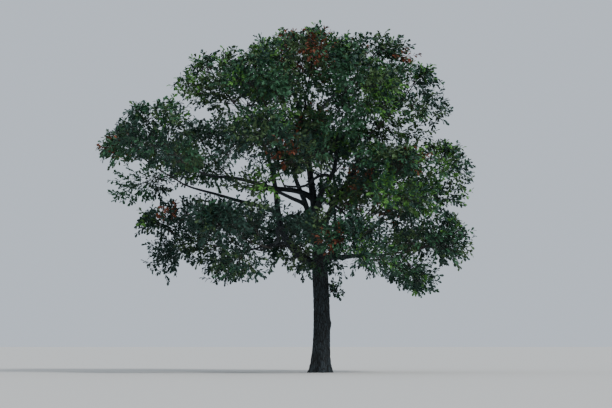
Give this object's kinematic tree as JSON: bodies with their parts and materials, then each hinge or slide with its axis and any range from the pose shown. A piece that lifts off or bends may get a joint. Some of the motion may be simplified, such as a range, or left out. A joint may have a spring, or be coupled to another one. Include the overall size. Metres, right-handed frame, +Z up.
{
  "type": "open-grown oak tree",
  "caption": "Lone broadleaf tree: short straight bole, spreading boughs and a round, open crown of dark green leaves with a few rust sprays at the top.",
  "frame": {"origin": "middle of the flat cut under the trunk, at ground level", "axes": "+Z up along the trunk, +X to the right of the tree as the picture shows it, along its widest extent, +Y away from the viewer"},
  "size_m": [9.5286, 8.671, 8.8341],
  "materials": {
    "bark": "rough, furrowed grey-brown bark",
    "leaves": "matt dark green leaves"
  },
  "bodies": {
    "root": {"bough_heart_1": "bark", "bough_heart_2": "bark", "bough_heart_3": "bark", "bough_low_left_1": "bark", "bough_low_left_2": "bark", "bough_low_left_3": "bark", "bough_low_right_1": "bark", "bough_low_right_2": "bark", "bough_low_right_3": "bark", "bough_middle_1": "bark", "bough_middle_2": "bark", "bough_shoulder_1": "bark", "bough_shoulder_2": "bark", "bough_shoulder_3": "bark", "bough_shoulder_4": "bark", "bough_shoulder_5": "bark", "bough_shoulder_6": "bark", "bough_side_left_1": "bark", "bough_side_left_2": "bark", "bough_side_left_3": "bark", "bough_side_right_1": "bark", "bough_side_right_2": "bark", "bough_side_right_3": "bark", "bough_skirt_1": "bark", "bough_skirt_2": "bark", "bough_top_1": "bark", "bough_top_2": "bark", "bough_top_3": "bark", "leaves_crest": "leaves", "leaves_heart_1": "leaves", "leaves_heart_2": "leaves", "leaves_heart_3": "leaves", "leaves_low_left_1": "leaves", "leaves_low_left_2": "leaves", "leaves_low_left_3": "leaves", "leaves_low_right_1": "leaves", "leaves_low_right_2": "leaves", "leaves_low_right_3": "leaves", "leaves_middle_1": "leaves", "leaves_middle_2": "leaves", "leaves_shoulder_1": "leaves", "leaves_shoulder_2": "leaves", "leaves_shoulder_3": "leaves", "leaves_shoulder_4": "leaves", "leaves_shoulder_5": "leaves", "leaves_shoulder_6": "leaves", "leaves_side_left_1": "leaves", "leaves_side_left_2": "leaves", "leaves_side_left_3": "leaves", "leaves_side_right_1": "leaves", "leaves_side_right_2": "leaves", "leaves_side_right_3": "leaves", "leaves_skirt_1": "leaves", "leaves_skirt_2": "leaves", "leaves_top_1": "leaves", "leaves_top_2": "leaves", "leaves_top_3": "leaves", "leaves_tuft": "leaves", "trunk": "bark"}
  },
  "joints": []
}
